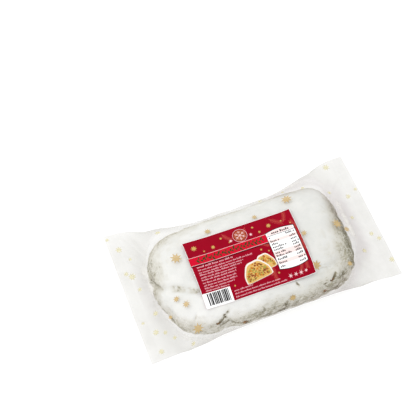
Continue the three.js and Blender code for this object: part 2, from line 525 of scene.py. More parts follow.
def clear_film():
    """Thin clear plastic that dims what lies under it a little: its alpha rises at glancing angles, in
    the seals, where powder clings to it ("dust") and where the loaf shades it ("shade")."""
    material, tree, shader = new_material("clear film", Roughness=0.22, IOR=1.5)
    place = object_place(tree)
    shade = named_values(tree, "shade")
    dust = named_values(tree, "dust")
    mask, _ = speckle(tree, place, scale=700.0, cover=dust, softness=0.12)
    powder = math_node(tree, "MULTIPLY", mask, math_node(tree, "MULTIPLY", dust, 0.3))
    clear = colour_mix(tree, shade, FILM_CLEAR, FILM_SHADED)
    colour = colour_mix(tree, ramp(tree, powder, 0.0, 0.3), clear, FILM_DUSTED)
    edge = node(tree, "ShaderNodeLayerWeight")
    settings(tree, edge, Blend=0.25)
    in_flap = named_values(tree, "flap")
    rim = math_node(tree, "MULTIPLY", edge.outputs["Facing"], ramp(tree, in_flap, 0.0, 1.0, 0.12, 0.35))
    cloud = ramp(tree, noise_node(tree, place, 45.0), 0.3, 0.7, 0.035, 0.07)
    seal = math_node(tree, "MULTIPLY", named_values(tree, "seal"), 0.012)
    flap = math_node(tree, "MULTIPLY", in_flap, 0.05)
    shaded = math_node(tree, "MULTIPLY", shade, 0.045)
    haze = math_node(tree, "ADD", math_node(tree, "ADD", rim, cloud), math_node(tree, "ADD", powder, flap))
    alpha = math_node(tree, "ADD", haze, math_node(tree, "ADD", seal, shaded))
    crinkle = noise_node(tree, place, 60.0, detail=3.0, roughness=0.5)
    normal = bump(tree, crinkle, strength=0.12, distance=0.0006)
    settings(tree, shader, Base_Color=colour, Alpha=alpha, Normal=normal)
    return material


def printed_ink(name, colour, darker, roughness=0.4, cover=1.0):
    """Ink on paper or film: its spots are darker, and a cover below 1 lets the ground through."""
    material, tree, shader = new_material(name, Roughness=roughness, Specular_IOR_Level=0.05)
    mask, height = speckle(tree, object_place(tree), scale=1400.0, cover=0.55, softness=0.2)
    full = linear(*colour)
    deep = (*(channel * darker for channel in full[:3]), 1.0)
    settings(tree, shader, Base_Color=colour_mix(tree, mask, deep, full))
    if cover < 1:
        settings(tree, shader, Alpha=ramp(tree, mask, 0.0, 1.0, cover - 0.12, cover + 0.12))
    settings(tree, shader, Normal=bump(tree, height, strength=0.15, distance=0.00004))
    return material


def label_paper():
    """Coated paper printed deep red, a little uneven and satin."""
    material, tree, shader = new_material("label paper", Specular_IOR_Level=0.04)
    place = object_place(tree)
    cloud = ramp(tree, noise_node(tree, place, 60.0), 0.3, 0.7)
    red = colour_mix(tree, cloud, PAPER_DEEP, PAPER_BRIGHT)
    fibre = noise_node(tree, place, 2600.0, detail=3.0)
    satin = ramp(tree, fibre, 0.3, 0.7, 0.38, 0.5)
    normal = bump(tree, fibre, strength=0.08, distance=0.00005)
    settings(tree, shader, Base_Color=red, Roughness=satin, Normal=normal)
    return material


def dried_fruit():
    """Dark wrinkled skin with a little powder on it."""
    material, tree, shader = new_material("raisin skin")
    place = object_place(tree)
    skin = ramp(tree, noise_node(tree, place, 500.0), 0.35, 0.65)
    dark = colour_mix(tree, skin, SKIN_DARK, SKIN_LIGHT)
    dusted, height = speckle(tree, place, scale=900.0, cover=0.22, softness=0.08)
    settings(
        tree,
        shader,
        Base_Color=colour_mix(tree, dusted, dark, SKIN_DUSTED),
        Roughness=ramp(tree, dusted, 0.0, 1.0, 0.4, 0.9),
        Normal=bump(tree, height, strength=0.4, distance=0.0003),
    )
    return material


def loose_sugar():
    """Off-white powder, a little uneven."""
    material, tree, shader = new_material("loose sugar", Roughness=0.8)
    lump = ramp(tree, noise_node(tree, object_place(tree), 300.0, detail=3.0, roughness=0.55), 0.35, 0.65)
    settings(tree, shader, Base_Color=colour_mix(tree, lump, POWDER_GREY, POWDER_WHITE))
    return material


# ---------------------------------------------------------------- loaf

# The band along the loaf's side in which the crust shows through the sugar, and which also paints
# the shade on the lower sides and along the outline. Each row gives a heading from the loaf's middle
# (0 is the right end, 90 the back, 180 the left end and -90 the front), the band's width, measured in
# from the outline and up the side, and how bare it is, which also sets how much shade it paints.
BARE_AND_SHADED_BAND = (
    (-165, 4, 0.4), (-150, 5, 0.5), (-135, 15, 0.41), (-118, 14, 0.46), (-100, 13, 0.52), (-85, 13, 0.5),
    (-72, 14, 0.47), (-60, 17, 0.52), (-45, 24, 0.54), (-33, 40, 0.65), (-22, 34, 0.61), (0, 32, 0.62),
    (20, 24, 0.59), (45, 16, 0.48), (90, 18, 0.36), (135, 28, 0.45), (165, 28, 0.49), (180, 22, 0.48),
)

# Short creases in the top: two ends, half width and depth
CREASES = (
    ((21.6, -39.8), (24.6, -45.0), 0.8, 1.2),
    ((43.5, -34.5), (53.0, -36.5), 0.5, 0.6),
    ((44.0, -37.0), (54.0, -38.2), 0.5, 0.5),
    ((-39.2, -44.6), (-35.4, -42.0), 1.2, 0.8),
    ((-42.4, -46.4), (-39.2, -44.6), 1.8, 1.0),
    ((-48.0, -48.2), (-42.4, -46.4), 1.8, 0.9),
    ((-57.0, -47.8), (-48.0, -48.2), 1.3, 0.55),
    ((52.0, -47.5), (56.5, -42.5), 1.0, 1.3),
    ((43.0, -49.0), (48.0, -48.0), 1.1, 1.2),
    ((-66.0, -42.0), (-61.0, -36.5), 0.8, 0.6),
    ((-78.0, 28.0), (-52.0, 38.5), 1.0, 0.5),
    ((-45.0, 38.5), (10.0, 39.5), 0.9, 0.35),
    ((-77.0, 10.0), (-68.0, 31.0), 0.9, 0.45),
)


def loaf_stations(rows):
    """Shares -1 to 1 along the loaf, crowded towards the ends: 1 - (1 - |s|)^crowding."""
    s = np.linspace(-1, 1, rows + 2)[1:-1]
    return np.sign(s) * (1 - (1 - np.abs(s)) ** LOAF_CROWDING)


def loaf_reach(share, reach, powers):
    """Distance of the widest outline from the long axis, squarer for larger powers."""
    n, m = (by_side(share, pair) for pair in powers)
    return reach * np.maximum(1 - np.abs(share) ** n, 0) ** (1 / m)


def loaf_outline(share):
    """Middle and half width of the widest outline at each share of the length."""
    back = loaf_reach(share, LOAF_BACK_REACH, BACK_POWERS)
    front = loaf_reach(share, LOAF_FRONT_REACH, FRONT_POWERS)
    from_waist = (LOAF_MIDDLE_X + LOAF_HALF_LENGTH * share - WAIST_X) / WAIST_HALF_WIDTH
    front = front - WAIST_DEPTH * bell(from_waist)
    return LOAF_AXIS_Y + (back - front) / 2, (back + front) / 2


def past_slant(x, y):
    """How far a place lies outside the slanting corner, in millimetres."""
    return x * np.cos(SLANT_FACES) + y * np.sin(SLANT_FACES) - SLANT_DISTANCE


def outside_loaf(x, y):
    """Roughly how far a place lies outside the loaf's widest outline, in millimetres. By the ends, where
    the outline closes, its width a little nearer to the middle counts."""
    share = (x - LOAF_MIDDLE_X) / LOAF_HALF_LENGTH
    centre, width = loaf_outline(np.clip(share, -OUTLINE_END, OUTLINE_END))
    across = np.abs(y - centre) - width
    along = (np.abs(share) - 1) * LOAF_HALF_LENGTH
    corner = np.hypot(np.maximum(across, 0), np.maximum(along, 0))
    plain = np.where((across < 0) & (along < 0), np.maximum(across, along), corner)
    return np.maximum(plain, past_slant(x, y))


def loaf_form(rows, steps):
    """Plain form of the loaf: rings that are a dome over a flat belly, each (1 - |v|^p)^q, and whose
    crown and base close at both ends by (1 - |share|^n)^(1/2). The slanting corner is pulled in."""
    share = loaf_stations(rows)[:, None]
    v = ring_shares(steps)
    size = np.abs(share)
    centre, width = loaf_outline(share)
    side = mix(BULGE_HEIGHT, LOAF_END_BULGE, size**4)
    crown = side + (LOAF_CROWN - side) * (1 - size**CROWN_TAPER) ** 0.5
    base = side - (side - LOAF_BASE) * (1 - size**BASE_TAPER) ** 0.5
    dome, belly = ((1 - np.abs(v) ** p) ** q for p, q in (LOAF_DOME, LOAF_BELLY))
    x = LOAF_MIDDLE_X + LOAF_HALF_LENGTH * share + 0 * v
    y = centre + v * width
    z = np.where(over_top(steps), side + (crown - side) * dome, side - (side - base) * belly)
    past = past_slant(x, y)
    pulled_in = SLANT_PULL / 2 * (past + np.sqrt(past * past + SLANT_SOFTNESS**2))
    return np.stack([x - pulled_in * np.cos(SLANT_FACES), y - pulled_in * np.sin(SLANT_FACES), z], -1)


def kept_inside(grid):
    """The points, with those that would touch the film moved back: across the bag, then up or down."""
    x = grid[..., 0]
    limit = 1 - FILM_GAP / half_width(x)
    v = np.clip((grid[..., 1] - middle(x)) / half_width(x), -limit, limit)
    z = np.clip(grid[..., 2], bag_base(x, v) + LOAF_BASE, bag_top(x, v, 1.0) - FILM_GAP)
    return np.stack([x, middle(x) + v * half_width(x), z], -1)


def dough_fold(x):
    """Y of the fold in the loaf: the film's fold line, turned up where it runs down the left end."""
    return fold_line(x) + GROOVE_TURNS_UP * (1 - smooth(FOLD_START, FOLD_START + 9, x))


def fold_groove(grid):
    """Depth of the fold over the upper half and the ends: a Gaussian groove with a swollen lip each side."""
    x, y, z = grid[..., 0], grid[..., 1], grid[..., 2]
    wander = GROOVE_WANDER * layered_noise(grid * [1, 0, 0], size=13, seed=91, layers=2)
    across = (y - dough_fold(x) - wander) / GROOVE_HALF_WIDTH
    upper = smooth(3, 14, z)
    along = 1 - smooth(58, 76, x)
    groove = mix(GROOVE_END_DEPTH, GROOVE_DEPTH, smooth(-86, -50, x)) * bell(across)
    lip = LIP_HEIGHT * bell(np.abs(across) - LIP_PLACE)
    return upper * along * (groove - lip)


def short_creases(grid):
    """Depth of the short creases: each a Gaussian of the distance to a slightly wandering segment, which
    is shallower towards its ends."""
    wander = 0.8 * layered_noise(grid, size=5, seed=97, layers=2)
    place = grid[..., :2] + wander[..., None]
    depth = np.zeros(grid.shape[:2])
    for start, end, half_wide, deep in CREASES:
        start, run = np.array(start), np.subtract(end, start)
        share = np.clip(((place - start) @ run) / (run @ run), 0, 1)
        away = np.linalg.norm(place - start - share[..., None] * run, axis=-1)
        taper = 0.35 + 0.65 * np.sin(np.pi * np.clip(share, 0.05, 0.95))
        depth += deep * taper * bell(away / half_wide)
    return depth * smooth(5, 12, grid[..., 2])


def rough_lip(grid):
    """1 on the rough dough in front of the fold by the right end, fading out along it and behind it."""
    x, y = grid[..., 0], grid[..., 1]
    return smooth(38, 54, x) * (1 - smooth(-1, 4, y - dough_fold(x)))


def drawn_out(grid):
    """Places for patterns that run along the loaf's outline: x and y drawn out, and a third number
    that grows up the side and in from the outline, and so changes fastest across the band."""
    x, y, z = grid[..., 0], grid[..., 1], grid[..., 2]
    return np.stack([0.75 * x, 0.75 * y, 0.9 * z - outside_loaf(x, y)], -1)


def painted_sugar_shade(grid):
    """Painted shade on the sugar: 0 where it is whitest, on the lobe at the front left, and 1 at the right,
    which lies away from the light.
    """
    x, y = grid[..., 0], grid[..., 1]
    left = 1 - smooth(-60, 40, x)
    front_left = (1 - smooth(-42, -18, y)) * (1 - smooth(-45, 30, x))
    return 1 - 0.2 * left - 0.7 * front_left


def bare_and_shaded_band(x, y):
    """Width of the band at each place, and how bare it is, which also sets its painted shade, by its heading
    from the loaf's middle.
    """
    back = (y - middle(0)) / LOAF_BACK_REACH * 1.1
    right = (x - LOAF_MIDDLE_X) / LOAF_HALF_LENGTH
    heading = np.degrees(np.arctan2(back, right))
    headings, *columns = np.transpose(BARE_AND_SHADED_BAND)
    return [np.interp(heading, headings, column, period=360) for column in columns]


def sugar_cover(grid, crack, fold, crease):
    """How thick the sugar lies, 0 to 1: full on top, thin and patchy in the bare band along the sides, where
    the thin sugar also stands for painted shade, and broken in the fold at the left, where that also paints
    the shade in the groove, in the creases and on the rough lip."""
    x, y, z = grid[..., 0], grid[..., 1], grid[..., 2]
    width, bareness_and_shade = bare_and_shaded_band(x, y)
    broad = layered_noise(grid, size=15, seed=71, layers=3)
    streaks = layered_noise(drawn_out(grid), size=3.4, seed=73, layers=3)
    specks = layered_noise(grid, size=2.6, seed=75, layers=2)

    inward = 0.5 * (z - BULGE_HEIGHT) - outside_loaf(x, y)
    # the band: crust showing through the sugar, and painted shade on the lower sides and the outline
    covered = smooth(-2 - 0.55 * width, 5, inward - width + 4 * broad + 3 * streaks)
    band = 1 - bareness_and_shade * (1 - covered) * (1 + 0.45 * streaks + 0.1 * broad)
    band += 0.1 * (1 - smooth(6, 13, z)) + 0.1 * (1 - smooth(10, 22, z)) * smooth(55, 75, x)
    band -= 0.2 * (1 - smooth(0, 17, inward - width + 6 * broad)) * smooth(-0.3, 0.5, streaks) * covered

    rough = rough_lip(grid) * (0.08 + 0.36 * smooth(-0.2, 0.5, streaks + 0.4 * broad))
    # the fold: broken sugar, and painted shade in the groove, strongest where it is deepest
    in_fold = np.clip(fold, 0, 1.6) / 1.6 * smooth(-80, -68, x) * (1 - smooth(-50, -44, x))
    broken = 0.6 + 0.4 * smooth(-0.5, 0.2, specks)
    grains = 0.35 + 0.65 * smooth(-0.5, 0.4, specks)
    torn = 1.1 - 0.6 * in_fold * grains - 0.85 * np.clip(crease, 0, 1.1) * broken - rough
    return np.clip(np.minimum(band, torn) - 0.12 * crack, 0.04, 1)


def make_loaf(crust):
    """The plain form with noise along its normals: a broad swell, lumps and pores, most of them on the
    flanks, cracks with thin veins, the fold and the creases. Gives its grid and normals."""
    rows, steps = 330, 128
    grid = loaf_form(rows, steps)
    normal = grid_normals(grid)
    flank = 1 - smooth(0.35, 0.85, normal[..., 2])
    above_base = smooth(0.2, 4, grid[..., 2])
    swell = 0.7 * layered_noise(grid, size=38, seed=11, layers=2) - 0.35
    lumps = 0.9 * layered_noise(grid, size=7, seed=23, layers=3) * mix(0.25, 1.0, flank) - 0.3 * flank
    pores = 0.5 * layered_noise(grid, size=2.6, seed=37, layers=2) * mix(0.1, 1.0, flank)
    vein = 1 - np.abs(layered_noise(grid * [0.55, 1, 1.3], size=14, seed=51, layers=3)) * 7
    crack = np.clip(vein, 0, 1) * flank * above_base
    fold = fold_groove(grid)
    crease = short_creases(grid)
    lumps += 0.9 * rough_lip(grid) * layered_noise(grid * [0.6, 1, 1], size=4.5, seed=29, layers=3)
    relief = (swell + lumps + pores - 0.7 * crack) * above_base - fold - crease
    values = {
        "sugar": sugar_cover(grid, crack, fold, crease),
        "crack": np.clip(0.5 * crack + 0.45 * crease, 0, 1),
        # painted shade that greys the sugar towards the right
        "painted_shade": painted_sugar_shade(grid),
    }
    drawn = drawn_out(grid)
    grid = kept_inside(grid + normal * relief[..., None])
    loaf = add_piece("loaf", with_poles(grid), ball_faces(rows, 2 * steps), crust)
    for name, numbers in values.items():
        add_values(loaf, name, with_poles(numbers))
    add_places(loaf, "drawn", with_poles(drawn))
    return grid, grid_normals(grid)


# ---------------------------------------------------------------- film

def near_label(grid):
    """1 where the label lies on the film and 0 a few millimetres outside it."""
    across = np.abs(grid[..., 0] - LABEL_X) - LABEL_LENGTH / 2
    down = np.abs(grid[..., 1] - middle(0) - LABEL_ROUND) - LABEL_DEPTH / 2
    outside = np.maximum(across, down)
    return (1 - smooth(1.5, 7, outside)) * (grid[..., 2] > SEAL_HEIGHT)


def film_relief(grid, over):
    """Creases in millimetres: ridges that fan out from under each end of the loaf to the seal, soft
    pillows in the flaps, and faint crinkles everywhere but under the label. The two layers and the two
    ends are given patterns of their own."""
    x, y, z = grid[..., 0], grid[..., 1], grid[..., 2]
    e = np.abs(x)
    reach = np.maximum(e - 48, 1)
    angle = np.arctan2(y, reach)
    layer = np.where(over, 0.0, 40.0) + np.where(x > 0, 90.0, 0.0)
    fan_place = np.stack([angle * 26, np.hypot(reach, y) * 0.06, layer], -1)
    ridge = 1 - 2.2 * np.abs(layered_noise(fan_place, size=3.4, seed=5, layers=2))
    in_flap = smooth(66, 86, e) * (1 - smooth(SEAL_START - 5, SEAL_START + 2, e))
    pillow = layered_noise(np.stack([x, y, layer], -1), size=22, seed=13, layers=2)
    crinkle = layered_noise(np.stack([x, y * 1.6, z], -1), size=12, seed=29, layers=3)
    full = 1 - smooth(60, 84, e)
    flank = smooth(0.55, 1.0, np.abs((y - middle(x)) / half_width(x)))
    dent = layered_noise(np.stack([x * 1.4, y, z], -1), size=17, seed=43, layers=2)
    relief = in_flap * (0.42 * ridge + 0.55 * pillow) + 0.14 * crinkle * (1 - near_label(grid))
    return relief + full * flank * 0.35 * dent


def seal_wave(grid):
    """How the flat end seals and corners lift and sink, in millimetres, both layers together: a sine
    across the bag and noise."""
    x, y = grid[..., 0], grid[..., 1]
    sine = np.sin(y / 17 + np.sign(x) * 0.9) * 0.7
    noise = layered_noise(grid * [1, 1, 0], size=30, seed=61, layers=2)
    return smooth(80, HALF_LENGTH, np.abs(x)) * (sine + noise)


def film_surface(stations, steps):
    """The bag's form with its creases: each point moves along its normal, and with the wave of the ends."""
    grid = bag_grid(stations, steps, 1.0)
    relief = film_relief(grid, over_top(steps)) * smooth(0.3, 3, grid[..., 2])
    seal = smooth(SEAL_START - 3, SEAL_START, np.abs(grid[..., 0]))
    grid = grid + grid_normals(grid) * (relief * (1 - seal))[..., None]
    grid[..., 2] = np.maximum(grid[..., 2] + seal_wave(grid), 0)
    return grid


def film_stations(rows):
    """Places along the bag, a little closer together near the ends: even steps blended with a sine."""
    s = np.linspace(-1, 1, rows)
    return HALF_LENGTH * (0.72 * s + 0.28 * np.sin(np.pi * s / 2))


def make_film(material):
    """The film as one closed skin. Its values: "seal" in the pressed bands, "flap" outside the loaf,
    "dust" in patches about the loaf's outline, and "shade" beside the loaf and at its far right corner."""
    rows, steps = 340, 135
    columns = 2 * steps
    grid = film_surface(film_stations(rows), steps)
    faces = ring_faces(rows, columns)
    faces += zip_faces(0, columns, True)
    faces += zip_faces((rows - 1) * columns, columns, False)
    film = add_piece("film_bag", grid.reshape(-1, 3), faces, material, "bag")

    x, y = grid[..., 0], grid[..., 1]
    e = np.abs(x)
    outside = outside_loaf(x, y)
    patchy = 0.5 + 0.5 * layered_noise(grid, size=14, seed=83, layers=3)
    beside = smooth(-4, 1, outside) * (1 - smooth(2, 15, outside))
    to_right = mix(0.5, 1.9, smooth(-60, 60, x))
    from_front = mix(0.65, 1.1, smooth(-45, -15, y)) * mix(1.0, 0.3, smooth(0, 40, y))
    far_corner = bell((outside + 5) / 4.5) * smooth(-20, 15, y) * smooth(20, 55, x)
    pressed = smooth(SEAL_START, SEAL_START + 1, e) * (1 - smooth(SEAL_STOP - 1, SEAL_STOP, e))
    add_values(film, "seal", pressed)
    add_values(film, "flap", smooth(-3, 6, outside))
    add_values(film, "dust", np.clip(bell(outside / 5) * patchy, 0, 1))
    add_values(film, "shade", beside * to_right * from_front + 3.6 * far_corner * over_top(steps))


# ---------------------------------------------------------------- places on the film

class FilmMap:
    """Unrolls a bag grid: x along it, and the distance round it from the crest of its crown,
    positive towards +Y. Rows are even in x, and columns even in that distance."""

    ROWS, RING_STEPS = 289, 160
    STEP = 0.75
    ROUND_LOW, ROUND_HIGH = -186.0, 60.0

    def __init__(self, surface):
        """Surface gives the grid for stations along X and steps round each half ring."""
        grid = surface(np.linspace(-HALF_LENGTH, HALF_LENGTH, self.ROWS), self.RING_STEPS)
        looped = np.concatenate([grid, grid[:, :1]], 1)
        lengths = np.linalg.norm(np.diff(looped, axis=1), axis=2)
        arc = np.concatenate([np.zeros((len(grid), 1)), np.cumsum(lengths, 1)], 1)[:, :-1]
        crest = self.RING_STEPS // 2
        around = arc[:, crest : crest + 1] - arc
        self.rounds = np.arange(self.ROUND_LOW, self.ROUND_HIGH, self.STEP)
        self.points = self.resample(around, grid)
        self.normals = self.resample(around, grid_normals(grid))

    def resample(self, around, values):
        """The values of each row at even distances round it."""
        rows = [
            np.stack([np.interp(self.rounds, place[::-1], line[::-1, k]) for k in range(3)], -1)
            for place, line in zip(around, values)
        ]
        return np.array(rows)

    def row_at(self, x):
        """The row at x, with a fraction."""
        return (x + HALF_LENGTH) / (2 * HALF_LENGTH) * (self.ROWS - 1)

    def round_at(self, x, y):
        """The distance round at which the upper side passes over (x, y)."""
        top = self.rounds > -62
        ys = self.points[int(round(self.row_at(x))), top, 1]
        return float(np.interp(y, ys, self.rounds[top]))

    def __call__(self, x, s, lift):
        """Points at x and s, that far outside the surface, blended between the four around them."""
        row = np.clip(self.row_at(x), 0, self.ROWS - 1.001)
        column = np.clip((s - self.ROUND_LOW) / self.STEP, 0, len(self.rounds) - 1.001)
        i, j = row.astype(int), column.astype(int)
        u, w = (row - i)[..., None], (column - j)[..., None]

        def blend(table):
            """The table's entries about each place, mixed by how near they are."""
            near = mix(table[i, j], table[i, j + 1], w)
            return mix(near, mix(table[i + 1, j], table[i + 1, j + 1], w), u)

        return blend(self.points) + blend(self.normals) * lift


# ---------------------------------------------------------------- flat shapes for print

def facing(angle):
    """Unit vectors at an angle from +X: its cosine and sine."""
    return np.stack([np.cos(angle), np.sin(angle)], -1)


def star(x, y, radius, arms, inner, turn=0.0):
    """A star about (x, y): a centre, a ring halfway out and the outline, which goes in and out."""
    n = 2 * arms
    corner = np.arange(n)
    reach = np.where(corner % 2 == 0, radius, radius * inner)
    outline = facing(turn + np.pi * corner / arms) * reach[:, None]
    points = np.concatenate([[[0, 0]], outline * 0.5, outline]) + [x, y]
    faces = [[0, 1 + i, 1 + (i + 1) % n] for i in range(n)]
    faces += [[1 + i, 1 + n + i, 1 + n + (i + 1) % n, 1 + (i + 1) % n] for i in range(n)]
    return points, faces


def disc(x, y, radius, corners):
    """A star that doesn't go in: an even polygon."""
    return star(x, y, radius, corners // 2, 1.0)


def block(left, low, right, high, arch_low=0.0, arch_high=0.0, step=1.5):
    """A rectangle as a fine grid. Its low and high edges can bow outwards by 1 - (2u - 1)^2."""
    across = max(2, int(np.ceil((right - left) / step)) + 1)
    up = max(2, int(np.ceil((high - low) / step)) + 1)
    u, w = np.meshgrid(np.linspace(0, 1, across), np.linspace(0, 1, up))
    bow = 1 - (2 * u - 1) ** 2
    y = mix(low - arch_low * bow, high + arch_high * bow, w)
    here = (np.arange(up - 1)[:, None] * across + np.arange(across - 1)[None, :]).ravel()
    faces = np.stack([here, here + 1, here + 1 + across, here + across], -1).tolist()
    return np.stack([mix(left, right, u).ravel(), y.ravel()], -1), faces


def hung(left, right, low, high, arch_low=0.0, arch_high=0.0, step=1.5):
    """A block whose low and high edges are given as distances down from the top line of the print."""
    return block(left, PRINT_TOP - low, right, PRINT_TOP - high, arch_low, arch_high, step)


def stroke(path, width):
    """A band of that width along a path of points."""
    path = np.asarray(path, float)
    along = np.gradient(path, axis=0)
    along /= np.linalg.norm(along, axis=1, keepdims=True)
    off = np.stack([-along[:, 1], along[:, 0]], -1) * width / 2
    n = len(path)
    faces = [[i + n, i + 1 + n, i + 1, i] for i in range(n - 1)]
    return np.concatenate([path + off, path - off]), faces


def joined(shapes):
    """All shapes as one list of points and faces."""
    points, faces, count = [], [], 0
    for shape_points, shape_faces in shapes:
        points.append(shape_points)
        faces += [[count + i for i in face] for face in shape_faces]
        count += len(shape_points)
    return np.concatenate(points), faces


def turned(points, turn, x, y):
    """Points turned about the origin, then moved to (x, y)."""
    c, s = np.cos(turn), np.sin(turn)
    return points @ np.array([[c, s], [-s, c]]) + [x, y]


# ---------------------------------------------------------------- gold stars on the film

# Place and radius of each star: over the loaf, and in the flaps
LOAF_STARS = (
    (-61.2, 10.7, 5.0), (43.5, 30.1, 5.1), (73.1, -6.1, 4.7), (-64.6, -47.8, 4.7), (16.2, -48.9, 3.4),
    (41.9, -34.4, 4.7), (-28.5, 25.2, 3.1), (12.0, 23.4, 2.6), (-67.1, -28.2, 3.1), (-72.6, -20.7, 2.7),
    (43.3, -6.0, 2.7), (79.7, -11.4, 3.0), (68.9, -41.2, 2.6), (-81.5, -30.5, 1.9),
)
FLAP_STARS = (
    (-100, 43.7, 3.2), (-101.3, 20.8, 2.5), (-97.6, 16.8, 3.6), (-95.5, 3.8, 2.2), (-91, -21, 2.6),
    (-103, -24.5, 1.8), (-96, -35.8, 3.0), (-89.2, -39.1, 2.2), (-83.8, -46, 2.0), (-97.4, -52.6, 2.9),
    (-71.5, -54.8, 2.4), (-106, 56, 2.0), (-66, 42, 3.0), (-94, 32, 1.7), (24, 39.7, 2.4), (44.6, 40.2, 1.9),
    (60.5, 35.4, 1.9), (81, 26, 2.2), (91.2, 53.8, 3.6), (97, 20.8, 2.8), (91, 0.2, 2.3), (105.6, 25, 2.2),
    (100.3, -18.2, 2.5), (104.4, -24.3, 2.5), (87, -31.8, 2.6), (106, -45.6, 3.0),
)
# All the stars of the film, with those of the underside. Their lift is their height over the film
STAR_COUNT, STAR_ARMS, STAR_LIFT = 80, 8, 0.06


def make_stars(film, ink, pale_ink):
    """Gold stars over the loaf, and paler ones in the flaps. The underside has its own scatter."""
    rng = np.random.default_rng(8)
    shapes, flap_shapes = [], []
    for stars, group in ((LOAF_STARS, shapes), (FLAP_STARS, flap_shapes)):
        for x, y, radius in stars:
            group.append(star(x, film.round_at(x, y), radius, STAR_ARMS, 0.5, rng.uniform(0, 0.8)))
    taken = [shape[0][0] for shape in shapes + flap_shapes]
    while len(taken) < STAR_COUNT:
        x, s = rng.uniform(-80, 80), rng.uniform(-178, -64)
        radius = rng.choice([4.3, 2.4, 1.8, 1.4], p=[0.15, 0.25, 0.35, 0.25])
        under_loaf = outside_loaf(x, film(np.array([x]), np.array([s]), 0.0)[0, 1]) < -9
        if under_loaf and min(np.hypot(x - a, s - b) for a, b in taken) > 9 + radius:
            taken.append((x, s))
            shapes.append(star(x, s, radius, STAR_ARMS, 0.47, rng.uniform(0, 0.8)))
    for name, group, colour in (("gold_stars", shapes, ink), ("pale_stars", flap_shapes, pale_ink)):
        points, faces = joined(group)
        add_piece(name, film(points[:, 0], points[:, 1], STAR_LIFT), faces, colour)


# ---------------------------------------------------------------- label

# The print of the small table: each row's distance down, and the length of its left group as a share
TABLE_ROWS = (
    (18.8, 0.0), (22.2, 0.35), (25.0, 0.2), (27.7, 0.55), (30.1, 0.4), (33.0, 0.45), (35.7, 0.6),
    (38.7, 0.35), (41.8, 0.3), (45.0, 0.15),
)
# Rows of small print: distance down, and the right end
TEXT_ROWS = (
    (23.9, 33.5), (26.5, 50.5), (28.8, 41.0), (30.9, 39.0), (33.3, 33.4), (35.5, 33.0), (38.0, 32.6),
    (40.3, 31.6), (42.5, 28.6), (44.7, 23.7),
)
FOOT_ROWS = ((51.2, 40.8), (53.6, 64.4), (56.2, 68.5))
# Root, length, heading and bend of each fir twig
TWIGS = (
    (74, 57.0, 11, -0.9, 0.5), (84, 50.0, 9, 1.0, 0.5), (53, 57.0, 9, -2.2, 0.4), (62, 3.0, 9, 1.9, -0.5),
    (91.9, 20.0, 10, 1.5, 0.25), (91.9, 31.0, 10, 1.6, 0.2), (92.0, 41.0, 8, 1.7, 0.3),
    (89.5, 15.5, 9, -1.9, 0.4), (84.5, 14.0, 8, -1.6, -0.5), (58.0, 9.0, 8, 0.9, 0.6),
    (33.0, 57.5, 9, -1.2, 0.5), (66.0, 33.0, 8, 2.3, 0.5), (44.5, 9.0, 7, 0.4, 0.5),
)
# Place from the left, distance down and radius of each gold star
PRINT_STARS = (
    (7.5, 6.6, 2.7), (22.5, 10.4, 1.9), (31.0, 5.0, 1.3), (14.5, 11.6, 0.9), (36.5, 10.9, 0.9),
    (58.5, 4.6, 1.2), (71.5, 7.6, 2.2), (62.5, 10.5, 1.3), (82.5, 7.0, 0.9), (89.0, 11.5, 0.9),
    (58.0, 26.0, 1.1), (63.5, 29.0, 0.9), (64.5, 49.0, 1.0), (27.5, 47.5, 0.9),
)
# The two cut slices: foot from the left and distance down, width, height, turn and pieces of fruit
SLICES = ((57.8, 43.0, 16.0, 13.5, 0.1, 80), (49.0, 48.6, 23.0, 16.0, 0.13, 190))


def place_on_label(crown, points, lift):
    """Label places (x from its left edge, y up from its low edge) laid on the crown of the bag."""
    x = points[..., 0] - LABEL_LENGTH / 2
    y = points[..., 1] - LABEL_DEPTH / 2
    along = LABEL_X + x * np.cos(LABEL_TURN) - y * np.sin(LABEL_TURN)
    around = LABEL_ROUND + x * np.sin(LABEL_TURN) + y * np.cos(LABEL_TURN)
    return crown(along, around, lift)


def make_label(crown, paper):
    """The sheet: rings of points over its face and back underneath, closed at both ends."""
    rows, steps = 100, 66
    columns = 2 * steps
    down = np.linspace(LABEL_DEPTH, 0, steps)
    face = np.stack(np.meshgrid(np.linspace(0, LABEL_LENGTH, rows), down, indexing="ij"), -1)
    over = place_on_label(crown, face, LABEL_FACE)
    under = place_on_label(crown, face[:, ::-1], LABEL_BACK)
    points = np.concatenate([over, under], 1).reshape(-1, 3)
    ends = [[i, i + 1, columns - i - 2, columns - i - 1] for i in range(steps - 1)]
    last = (rows - 1) * columns
    faces = ring_faces(rows, columns) + [quad[::-1] for quad in ends]
    faces += [[last + i for i in quad] for quad in ends]
    add_piece("label_sheet", points, faces, paper, "label")


def type_line(rng, left, right, base, height, weight=0.34):
    """A line of small upright ticks in groups, which stands for print too small to read. Weight is the
    width of a tick as a share of the height."""
    shapes = []
    x = left
    word = rng.integers(3, 9)
    while x < right:
        tall = height * rng.choice([0.62, 0.66, 1.0], p=[0.45, 0.3, 0.25])
        shapes.append(block(x, base, x + height * weight, base + tall, step=5))
        x += height * (weight + 0.26)
        word -= 1
        if word == 0:
            x += height * 0.45
            word = rng.integers(3, 9)
    return shapes


def sprig(x, y, length, heading, bend):
    """A fir twig: a bent stem with needles off both sides."""
    joints = 8
    angle = heading + bend * np.linspace(0, 1, joints + 1)
    steps = facing(angle) * length / joints
    stem = np.array([x, y]) + np.concatenate([[[0, 0]], np.cumsum(steps[:-1], 0)])
    shapes = [stroke(stem, 0.4)]
    for root, way in zip(stem[1:], angle[1:]):
        for side in (-1, 1):
            shapes.append(stroke([root, root + facing(way + side * 0.75) * length * 0.26], 0.3))
    return shapes


